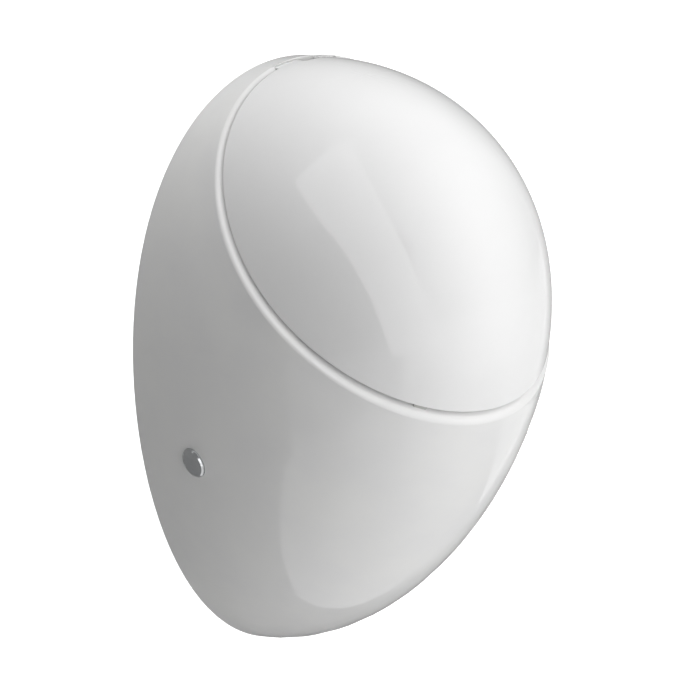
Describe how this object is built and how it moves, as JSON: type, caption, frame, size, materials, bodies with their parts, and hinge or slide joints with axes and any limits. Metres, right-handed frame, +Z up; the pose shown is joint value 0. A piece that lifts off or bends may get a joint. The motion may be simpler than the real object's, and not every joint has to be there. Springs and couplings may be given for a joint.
{
  "type": "wall-hung urinal",
  "caption": "Egg-shaped white glazed ceramic wall-hung urinal with a hinged domed lid, round side caps, concealed water inlet and trap.",
  "frame": {"origin": "on the wall plane, at the middle of the back edge of the body's cross web", "axes": "+Z up, front faces -Y, +X to the viewer's right from the front, wall plane y = 0"},
  "size_m": [0.29, 0.3162, 0.5225],
  "materials": {
    "glazed_ceramic": "glossy white glaze",
    "lid_gloss": "glossy white moulded thermoset",
    "rubber_white": "soft matte white",
    "rubber_grey": "soft matte",
    "steel": "brushed",
    "white_plastic": "satin",
    "chrome": "polished"
  },
  "bodies": {
    "ceramic": {"ceramic_body": "glazed_ceramic", "ceramic_bowl": "glazed_ceramic", "ceramic_web": "glazed_ceramic", "hinge_gasket": "rubber_grey", "inlet_seal": "rubber_grey", "waste_gasket": "rubber_grey", "outlet_collar": "rubber_grey", "hinge_pin": "steel", "hinge_bolt_left": "steel", "hinge_bolt_right": "steel", "hinge_washer_left": "steel", "hinge_washer_right": "steel", "hinge_nut_left": "steel", "hinge_nut_right": "steel", "side_screw_left": "steel", "side_screw_right": "steel", "wall_bolt_left": "steel", "wall_bolt_right": "steel", "wall_bracket_left": "steel", "wall_bracket_right": "steel", "hinge_post": "white_plastic", "cap_socket_left": "white_plastic", "cap_socket_right": "white_plastic", "inlet_spreader": "white_plastic", "inlet_pipe": "white_plastic", "waste_backnut": "white_plastic", "trap_tail": "white_plastic", "trap_cup": "white_plastic", "trap_outlet": "white_plastic", "waste_flange": "chrome"},
    "lid": {"lid_shell": "lid_gloss", "lid_buffer_front_left": "rubber_white", "lid_buffer_front_right": "rubber_white", "lid_buffer_rear_left": "rubber_white", "lid_buffer_rear_right": "rubber_white", "hinge_bush_left": "white_plastic", "hinge_bush_right": "white_plastic"},
    "strainer": {"waste_strainer": "chrome"},
    "cap_left": {"side_cap_left": "chrome"},
    "cap_right": {"side_cap_right": "chrome"}
  },
  "joints": [
    {"name": "lid_hinge", "type": "hinge", "parent": "ceramic", "child": "lid", "pos_m": [0, -0.0365, 0.251], "axis": [-1, 0, 0], "range_deg": [0, 100]},
    {"name": "strainer_lift", "type": "slide", "parent": "ceramic", "child": "strainer", "axis": [0, 0, 1], "range_m": [0, 0.06]},
    {"name": "cap_left_pull", "type": "slide", "parent": "ceramic", "child": "cap_left", "axis": [-0.9671, -0.152, -0.204], "range_m": [0, 0.03]},
    {"name": "cap_right_pull", "type": "slide", "parent": "ceramic", "child": "cap_right", "axis": [0.9671, -0.152, -0.204], "range_m": [0, 0.03]}
  ]
}
